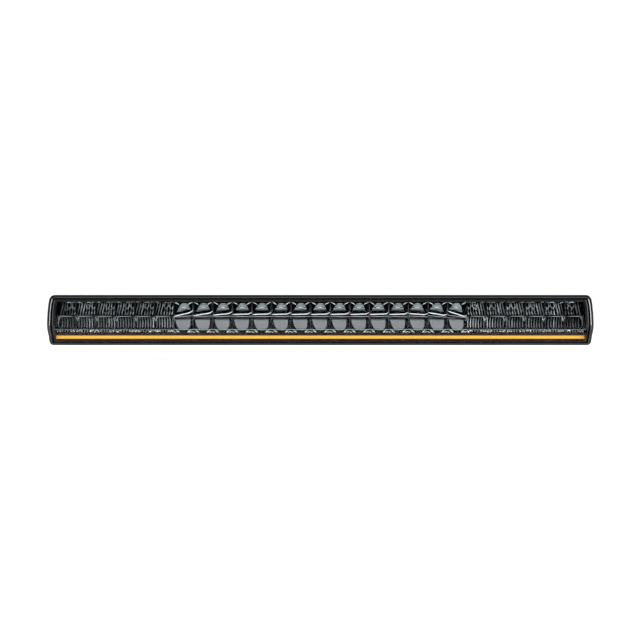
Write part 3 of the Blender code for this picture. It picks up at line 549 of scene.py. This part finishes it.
# Outlines of a column's two panels, as x and z along the bottom, right, top and left sides
BELL = (
    [(-11.2, 51.6), (-4, 51.4), (3, 51.4), (9.9, 51.6)],
    [(9.9, 51.6), (8.6, 54.0), (7.4, 57.6), (5.3, 61.4)],
    [(-4.7, 61.4), (-3, 62.5), (0.3, 63.0), (3.6, 62.5), (5.3, 61.4)],
    [(-11.2, 51.6), (-9.6, 54.0), (-7.5, 57.6), (-4.7, 61.4)],
)
BUCKET = (
    [(-6.8, 24.8), (-3, 24.5), (3.4, 24.5), (7.4, 24.8)],
    [(7.4, 24.8), (8.9, 27.5), (9.7, 33), (9.8, 39.8)],
    [(-12.3, 39.8), (-4, 40.0), (3, 40.0), (9.8, 39.8)],
    [(-6.8, 24.8), (-9.0, 28.2), (-11.0, 33.2), (-12.3, 39.8)],
)
UPPER_FRAME = rectangle(-PITCH / 2, PITCH / 2, DIVIDE, OPTIC_HIGH)
LOWER_FRAME = rectangle(-PITCH / 2, PITCH / 2, OPTIC_LOW, DIVIDE)
UPPER_OPENING = rectangle(-13.7, 13.7, 44.6, 64.9)
LOWER_OPENING = rectangle(-13.7, 13.7, 20.4, 41.4)
COLS = steps(12)


def bell_depth(a, b):
    """Depth of the bell, which comes forward in three terraces towards its top."""
    rise = max(b - 50.7, 0) / 12
    terrace = 0.25 * math.sin(rise * 2 * math.pi * 3)
    return 19.5 - 4.6 * rise ** 1.2 - 0.004 * a * a + terrace * (0.3 + rise)


def bucket_depth(a, b):
    """Depth of the bucket, which comes forward towards its lower edge and its sides."""
    drop = max(40.0 - b, 0) / 16.4
    return 14.8 - 4.9 * drop ** 0.95 - 0.006 * (a + 1) ** 2


def smooth_cell(sheet, x, slope):
    """One column of the driving optics: a stepped bell over a deep bucket, with metal strokes as painted
    highlights on the bell, a bright wave between the two, a sill and the corners.
    """

    def tilt(outline):
        return [[(a, b + slope * a * math.exp(-((b - 46) / 9) ** 2)) for a, b in part] for part in outline]

    # The bell's panel takes the darker satin copy: painted shade.
    well(sheet, x, UPPER_FRAME, UPPER_OPENING, tilt(BELL), bell_depth, COLS, steps(18), PANEL_PAINTED_SHADE)
    well(sheet, x, LOWER_FRAME, LOWER_OPENING, tilt(BUCKET), bucket_depth, COLS, steps(14), PANEL)
    # Strokes across the bell: painted highlights.
    bell_highlights = ((60.4, 3.2, 0.4, PANEL), (56.3, 3.8, 0.75, PAINTED_HIGHLIGHT), (53.4, 7.6, 0.4, PANEL))
    for height, reach, wide, kind in bell_highlights:
        ends = [(a - 0.3, height + slope * a * 0.3) for a in (-reach, 0, reach)]
        bar_stroke(sheet, x, ends, [(0.15,), (wide,), (0.15,)], bell_depth(0, height) - 0.3, 0.35, kind,
                   count=6, roll=0.35 if kind == PAINTED_HIGHLIGHT else 0.0)
    # The wave between the rows: a bright metal stroke as a painted highlight.
    wave = [(-14.3, 46.2), (-11.5, 46.0), (-7, 46.1), (0, 46.4), (7, 46.5), (10.5, 47.1), (14.2, 49.1)]
    wave = [(a, b + slope * a) for a, b in wave]
    bar_stroke(sheet, x, wave, [(0.25,), (0.75,), (0.95,), (0.85,), (0.9,), (0.9,), (0.4,)], RIM, 0.7, PAINTED_HIGHLIGHT,
               count=18, roll=0.3, root=2.5)
    rib = [(-14.4, 43.2), (0, 43.0), (14.4, 43.2)]
    rib = [(a, b + 0.4 * slope * a) for a, b in rib]
    bar_stroke(sheet, x, rib, [(0.3,), (0.45,), (0.3,)], RIM + 0.2, 0.4, PANEL, count=8, root=1.5)
    # A bright metal stroke along the bucket's lower edge: a painted highlight.
    sill_highlight = [(-6.6, 23.7), (-3, 23.1), (3.4, 23.1), (7.0, 23.7)]
    bar_stroke(sheet, x, sill_highlight, [(0.45,), (0.22,), (0.22,), (0.45,)], 9.5, 0.4, PAINTED_HIGHLIGHT, count=8)
    for side in (-1, 1):
        corner_leaves(sheet, x + side * PITCH / 2, -side)


def corner_leaves(sheet, x, side):
    """The bright strokes at one side of the corner where two columns meet: painted highlights."""
    reach = [(side * a, b) for a, b in ((1.2, 64.4), (4.4, 63.1), (7.8, 61.0))]
    bar_stroke(sheet, x, reach, [(0.25,), (0.95,), (0.5,)], RIM, 0.7, PAINTED_HIGHLIGHT, count=6, root=1.5)
    arc = [(side * a, b) for a, b in ((0.3, 23.7), (5.2, 22.8), (8.8, 19.3))]
    bar_stroke(sheet, x, arc, [(0.45,), (0.5,), (0.4,)], RIM, 0.6, PANEL, count=8, root=1.5)
    if side < 0:
        leaves = (
            ([(-8.3, 19.3), (-6.2, 20.9), (-4.2, 22.4)], [(0.3,), (1.15,), (0.4,)]),
            ([(-4.6, 19.1), (-2.8, 20.2), (-0.4, 20.6)], [(0.3,), (0.75,), (0.4,)]),
        )
    else:
        leaves = (
            ([(3.4, 22.0), (5.8, 20.9), (8.4, 19.4)], [(0.3,), (0.85,), (0.3,)]),
            ([(0.3, 20.4), (1.4, 19.7), (3.0, 19.0)], [(0.4,), (0.6,), (0.3,)]),
        )
    for path, widths in leaves:
        bar_stroke(sheet, x, path, widths, RIM, 0.6, PAINTED_HIGHLIGHT, root=1.5)


def fluted_cell(sheet, x, column, side, draw):
    """One column of the spreading optics: upright flutes below, and leaning, broken ones above. The two ends
    of the bar mirror each other; column counts from the end, and side is -1 at the left."""

    def stroke(path, widths, u, thick, kind, count, turn=0.0):
        bar_stroke(sheet, x, [(-side * a, b) for a, b in path], [(wide,) for wide in widths], u, thick, kind,
                   count=count, roll=side * turn, root=3.0 if u > RIM + 2 else 1.2)

    flat = steps(1)
    upper = rectangle(-13.6, 13.6, 45.0, 64.6)
    lower = rectangle(-13.6, 13.6, 21.0, 41.6)

    def shelf(_, b):
        return 17.5 - 4.5 * abs(b - DIVIDE) / 22

    # The walls and backs of these recesses are painted shade, so the flutes stand out on black.
    well(sheet, x, UPPER_FRAME, rectangle(-13.9, 13.9, 44.2, 65.0), upper, shelf, flat, flat, PAINTED_SHADE)
    well(sheet, x, LOWER_FRAME, rectangle(-13.9, 13.9, 20.6, 42.2), lower, shelf, flat, flat, PAINTED_SHADE)
    inward = column / (FLUTED - 1)
    flutes, spacing = 7, 4.0
    whole = 3  # flutes of the upper row that run its full height, as the others break off
    for i in range(flutes):
        a = (i - (flutes - 1) / 2) * spacing + 0.6
        wide = 0.34 + 0.24 * inward + draw.uniform(-0.1, 0.12)
        turn = draw.uniform(0.10, 0.30)
        if column or i > 0:
            bow = 0.8 - 0.3 * i / flutes
            path = [(a - 0.3, 24.3), (a + bow * 0.4, 30), (a + bow * 0.2, 36), (a - bow * 1.2, 41.4)]
            stroke(path, (wide * 0.8, wide, wide, wide * 0.5), 14.5, 0.5, PANEL, 7, turn)
        wide = 0.42 + draw.uniform(0, 0.16)
        turn = draw.uniform(0.12, 0.34)
        if i < whole:
            if column or i:
                path = [(a - 2.0, 45.4), (a - 1.2, 51), (a + 0.6, 57.5), (a + 1.4, 63.4)]
                stroke(path, (0.3, wide + 0.1, wide + 0.2, 0.5), 13.6, 0.5, PANEL, 9, turn)
            continue
        top = draw.uniform(50.0, 52.5)
        path = [(a - 1.6, 45.6), (a - 0.9, 48), (a - 0.2, top)]
        stroke(path, (0.25, wide, 0.25), 14.2, 0.4, PANEL, 4, turn)
        bend = draw.uniform(0.5, 1.4) * (1 if i % 2 else -1)
        path = [(a - 0.2, top + 1.4), (a + bend, 55.4), (a + 0.3 - bend, 58.6), (a + 1.0, 62.4)]
        stroke(path, (0.3, wide, wide + 0.1, 0.35), 13.4, 0.5, PANEL, 8, turn)
    if not column:
        path = [(-13.8, 42.8), (-11.6, 38), (-12.4, 32), (-11.2, 26.5)]
        stroke(path, (0.4, 0.6, 0.5, 0.4), 11.5, 0.5, PANEL, 9)
        stroke([(-9.4, 42.0), (-10.6, 40.0), (-11.6, 37.2)], (0.3, 0.5, 0.3), 11.5, 0.5, PANEL, 6)
    path = [(-13.4, 43.6), (-5, 43.1), (3, 43.3), (9.4, 43.2)]
    stroke(path, (0.2, 0.45, 0.35, 0.2), RIM, 0.4, PANEL, 10)
    # Short random strokes: painted glints.
    for _ in range(6):
        a, b = draw.uniform(-11, 7), draw.uniform(47, 61.5)
        lean_x, lean_z = draw.uniform(-1.2, 1.2), draw.uniform(0.5, 1.6)
        path = [(a - lean_x, b - lean_z), (a + draw.uniform(-0.5, 0.5), b), (a + lean_x, b + lean_z)]
        stroke(path, (0.15, draw.uniform(0.2, 0.4), 0.15), 13.0, 0.4, PANEL, 4, draw.uniform(-0.3, 0.3))
    # Strokes along the top corners: painted highlights.
    crown = draw.uniform(-1, 1)
    tip = -0.14 - 0.2 * inward
    if column:
        path = [(-12.6, 64.0), (-9 + crown, 64.6), (-6.6 + crown, 62.9)]
        stroke(path, (0.3, 0.6, 0.35), RIM + 0.6, 0.6, PAINTED_HIGHLIGHT, 7, tip)
    stroke([(1.0 + crown, 63.4), (4.6, 64.5), (8.6, 63.0)], (0.3, 0.6, 0.3), RIM + 0.6, 0.6, PAINTED_HIGHLIGHT, 7, tip)
    stroke([(8.8, 63.2), (11.2, 64.6), (13.6, 63.6)], (0.25, 0.5, 0.25), RIM + 0.6, 0.6, PANEL, 6, tip)
    for edge in (-1, 1):
        half_pillar(sheet, x + edge * PITCH / 2 - side * POST_SHIFT, -edge)
        # Short bright strokes along the lower corners: painted glints.
        for reach in (1.4, 3.4, 5.4, 7.4):
            a = edge * (PITCH / 2 - reach) + draw.uniform(-0.6, 0.6)
            b = draw.uniform(20.6, 22.2)
            tall, tip = draw.uniform(0.7, 1.9), draw.uniform(-1.4, 1.4)
            path = [(a - tip, b - tall), (a, b), (a + tip, b + tall)]
            wide = draw.uniform(0.3, 0.6) + 0.3 * inward
            stroke(path, (0.25, wide, 0.25), RIM + 0.3, 0.5, PAINTED_HIGHLIGHT, 5, draw.uniform(-0.3, 0.3))
    # Short strokes along the bottom: painted glints.
    for a in (-5.4, -1.4, 2.6, 6.6):
        tip = draw.uniform(-0.5, 0.5)
        stroke([(a - tip, 20.0), (a, 21.2), (a + tip, 22.8)], (0.2, 0.45, 0.2), RIM + 0.4, 0.4, PANEL, 4)


def half_pillar(sheet, x, side):
    """One side of the forked post where two fluted columns meet, under the dividing rib."""
    path = [(side * 2.5, 42.6), (side * 1.4, 39.8), (side * 0.5, 36.2)]
    bar_stroke(sheet, x, path, [(0.3,), (0.45,), (0.25,)], RIM, 0.6, PANEL, count=6, root=1.5)


def module_shell(sheet, left, right):
    """The moulding's top, bottom and ends, back to the heat rail, in the painted shade black."""
    depths = (FRAME_BACK, (FRAME_BACK + OPTIC_BACK) / 2, OPTIC_BACK)
    corners = [(left, OPTIC_LOW), (right, OPTIC_LOW), (right, OPTIC_HIGH), (left, OPTIC_HIGH)]
    sheet.grid([[at(a, u, b) for a, b in corners] for u in depths], PAINTED_SHADE, closed=True)
    sheet.face([at(a, OPTIC_BACK, b) for a, b in corners], PAINTED_SHADE)


SLOPES = {6: 0.21, 7: 0.13, 8: 0.07, 18: -0.10, 19: -0.20, 20: -0.36}  # of the wave, where it isn't level


def reflector(number):
    sheet = Sheet(PAINTED_SHADE_BLACK, DARK_CHROME, SATIN, SATIN_PAINTED_SHADE, BRIGHT_PAINTED_HIGHLIGHT)
    draw = random.Random(100 + number)
    first = number * MODULE_COLUMNS
    for column in range(first, first + MODULE_COLUMNS):
        x = -FIELD + (column + 0.5) * PITCH
        from_end = min(column, COLUMNS - 1 - column)
        if from_end < FLUTED:
            fluted_cell(sheet, x, from_end, math.copysign(1, x), draw)
        else:
            smooth_cell(sheet, x, SLOPES.get(column, 0.0))
    left = -FIELD + first * PITCH
    module_shell(sheet, left + MODULE_GAP, left + MODULE_COLUMNS * PITCH - MODULE_GAP)
    piece = sheet.piece(f"reflector_optics_{number + 1}")
    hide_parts(f"reflector_{number + 1}")


# Position light


def lit_guide():
    """The lit amber bar: a bright core with dimmer edges above and below, and a tone of its own near its
    ends.
    """
    core, edge, end = range(3)
    sheet = Sheet(AMBER_CORE, AMBER_EDGE, AMBER_END)
    outline = [  # depth, height above the middle
        (16.2, 2.5), (11.6, 2.5), (10.9, 2.3), (10.5, 1.9), (10.42, 1.2), (10.4, 0), (10.42, -0.9),
        (10.5, -1.7), (10.9, -2.4), (11.6, -2.6), (16.2, -2.6),
    ]
    kinds = [edge, edge, edge, core, core, core, core, end, edge, edge]
    half = GUIDE_HALF + GUIDE_PAST
    middle = (GUIDE_LOW + GUIDE_HIGH) / 2
    ends = [-half, -half + 1.2, -half + 6]
    ends += [half * k / 20 for k in range(-19, 20)] + [-x for x in reversed(ends)]
    last = len(ends) - 2
    tips = {0: edge, 1: end, last - 1: end, last: edge}
    for j in range(len(outline) - 1):
        pair = outline[j:j + 2]
        rows = [[at(x, u, middle + z) for x in ends] for u, z in pair]
        sheet.grid(rows, lambda _, i, along=kinds[j]: tips.get(i, along) if along == core else along)
    sheet.grid([[at(x, u, middle + z) for x in ends] for u, z in (outline[-1], outline[0])], edge)
    for x in (ends[0], ends[-1]):
        sheet.face([at(x, u, middle + z) for u, z in outline], edge)
    piece = sheet.piece("lit_amber_bar", smooth=50)
    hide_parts("light_guide")


def guide_channel():
    """The black channel round the lit bar. Its lips flare to the front and carry a faint emission, painted
    light for what the lit bar spills on them.
    """
    half = GUIDE_HALF + CHANNEL_PAST
    # above and below are the lips' painted spill light.
    black, above, below = range(3)
    section = [  # depth, height, finish of the face that follows
        (10.6, 18.5, black), (10.4, 16.9, above), (11.2, 15.6, above), (16.6, 15.5, black),
        (16.6, 8.8, below), (11.4, 8.6, below), (10.5, 7.7, black), (10.7, 7.6, black), (16.9, 7.6, black),
        (16.9, 18.5, black), (10.6, 18.5, black),
    ]
    sheet = Sheet(TRAY_BLACK, PAINTED_SPILL_ABOVE, PAINTED_SPILL_BELOW)
    ends = [-half + 2 * half * t for t in steps(24)]
    for (u0, z0, kind), (u1, z1, _) in zip(section, section[1:]):
        sheet.grid([[at(x, u0, z0) for x in ends], [at(x, u1, z1) for x in ends]], kind)
    for x in (ends[0], ends[-1]):
        sheet.face([at(x, u, z) for u, z, _ in section[:-1]])
    piece = sheet.piece("guide_channel", smooth=30)
    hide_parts("guide_tray")


# Finishes of the CAD parts that stay as they are

CAD_FINISHES = {
    "black_aluminium": ANODISED,
    "seal_rubber": RUBBER,
    "bare_aluminium": BARE,
    "white_board": WHITE_BOARD,
    "green_board": GREEN_BOARD,
    "black_nylon": NYLON,
    "thermal_pad": PAD,
    "steel": STEEL,
    "black_steel": POWDER,
}


def dress_cad_parts():
    slots = {entry["node"]: entry["material_slot"] for entry in frame["record"]["subparts"]}
    for name, obj in frame["nodes"].items():
        material = CAD_FINISHES.get(slots[name])
        if material is None:
            continue
        if name.endswith("end_cap"):
            material = CAP_COAT
        for entry in obj.material_slots:
            entry.material = material


# Stage


def area_light(name, where, aim, size, power):
    data = bpy.data.lights.new(name, "AREA")
    data.shape = "RECTANGLE"
    data.size, data.size_y = size
    data.energy = power
    light = bpy.data.objects.new(name, data)
    light.location = where
    light.rotation_euler = (Vector(aim) - Vector(where)).to_track_quat("-Z", "Y").to_euler()
    bpy.context.scene.collection.objects.link(light)


def ramp(tree, value, start, stop, low, high):
    """A node that turns start to stop into low to high, and holds there on either side."""
    made = tree.nodes.new("ShaderNodeMapRange")
    limits = {"From Min": start, "From Max": stop, "To Min": low, "To Max": high}
    for name, limit in limits.items():
        made.inputs[name].default_value = limit
    tree.links.new(value, made.inputs["Value"])
    return made.outputs["Result"]


def stage():
    """The floor, four lights, and a surround that looks white but is dim, and dark in front, to reflect."""
    floor = bpy.data.meshes.new("floor")
    reach = 12.0
    drop = -0.022  # just below the lowest point that a foot swings through
    corners = [(-reach, -reach, drop), (reach, -reach, drop), (reach, reach, drop), (-reach, reach, drop)]
    floor.from_pydata(corners, [], [(0, 1, 2, 3)])
    floor.materials.append(finish("floor_white", (0.93, 0.93, 0.93), 0.6, other=(0.91, 0.91, 0.91), grain=20,
                                  emission=(1, 1, 1), strength=0.75))
    obj = bpy.data.objects.new("floor", floor)
    bpy.context.scene.collection.objects.link(obj)

    world = bpy.data.worlds.new("studio")
    bpy.context.scene.world = world
    world.use_nodes = True
    nodes, links = world.node_tree.nodes, world.node_tree.links
    background = nodes["Background"]
    place = nodes.new("ShaderNodeTexCoord")
    split = nodes.new("ShaderNodeSeparateXYZ")
    links.new(place.outputs["Generated"], split.inputs["Vector"])
    total = nodes.new("ShaderNodeMath")
    links.new(ramp(world.node_tree, split.outputs["Y"], -0.3, 0.7, 0.0, 0.45), total.inputs[0])
    links.new(ramp(world.node_tree, split.outputs["Z"], 0.15, 0.8, 0.05, 0.45), total.inputs[1])
    path = nodes.new("ShaderNodeLightPath")
    seen = nodes.new("ShaderNodeMix")
    seen.inputs["B"].default_value = 1.1
    links.new(path.outputs["Is Camera Ray"], seen.inputs["Factor"])
    links.new(total.outputs["Value"], seen.inputs["A"])
    links.new(seen.outputs["Result"], background.inputs["Strength"])
    background.inputs["Color"].default_value = (1, 1, 1, 1)

    area_light("brow_light", (0, -1.15, 1.15), (0, 0, 0.04), (2.4, 0.85), 3.8)
    area_light("top_light", (0, -0.25, 1.6), (0, 0, 0), (2.4, 0.7), 10)
    area_light("left_light", (-1.7, -0.7, 0.40), (-0.3, 0, 0.04), (0.45, 1.0), 15)
    area_light("right_light", (1.7, -0.7, 0.40), (0.3, 0, 0.04), (0.45, 1.0), 22)


def camera():
    """Level with the middle of the bar and square to it, near enough for the end walls to show."""
    distance = 1.35
    outer_edge = 0.0015  # depth of the bezel's outer edge
    aside, lift = -0.0005, 0.0002  # from the middle of the bar
    share = 0.8548  # of the frame's width that the bar fills
    data = bpy.data.cameras.new("camera")
    data.sensor_width = 36
    data.lens = data.sensor_width * (distance + outer_edge) * share / (2 * HALF / 1000)
    data.clip_start = 0.01
    obj = bpy.data.objects.new("camera", data)
    obj.location = (aside, FRONT_Y - distance, HEIGHT / 2000 + lift)
    obj.rotation_euler = (math.pi / 2, 0, 0)
    bpy.context.scene.collection.objects.link(obj)
    bpy.context.scene.camera = obj


front_bezel()
clear_cover()
for index in range(MODULES):
    reflector(index)
lit_guide()
guide_channel()
dress_cad_parts()
stage()
camera()
bpy.context.scene.view_settings.view_transform = "Standard"
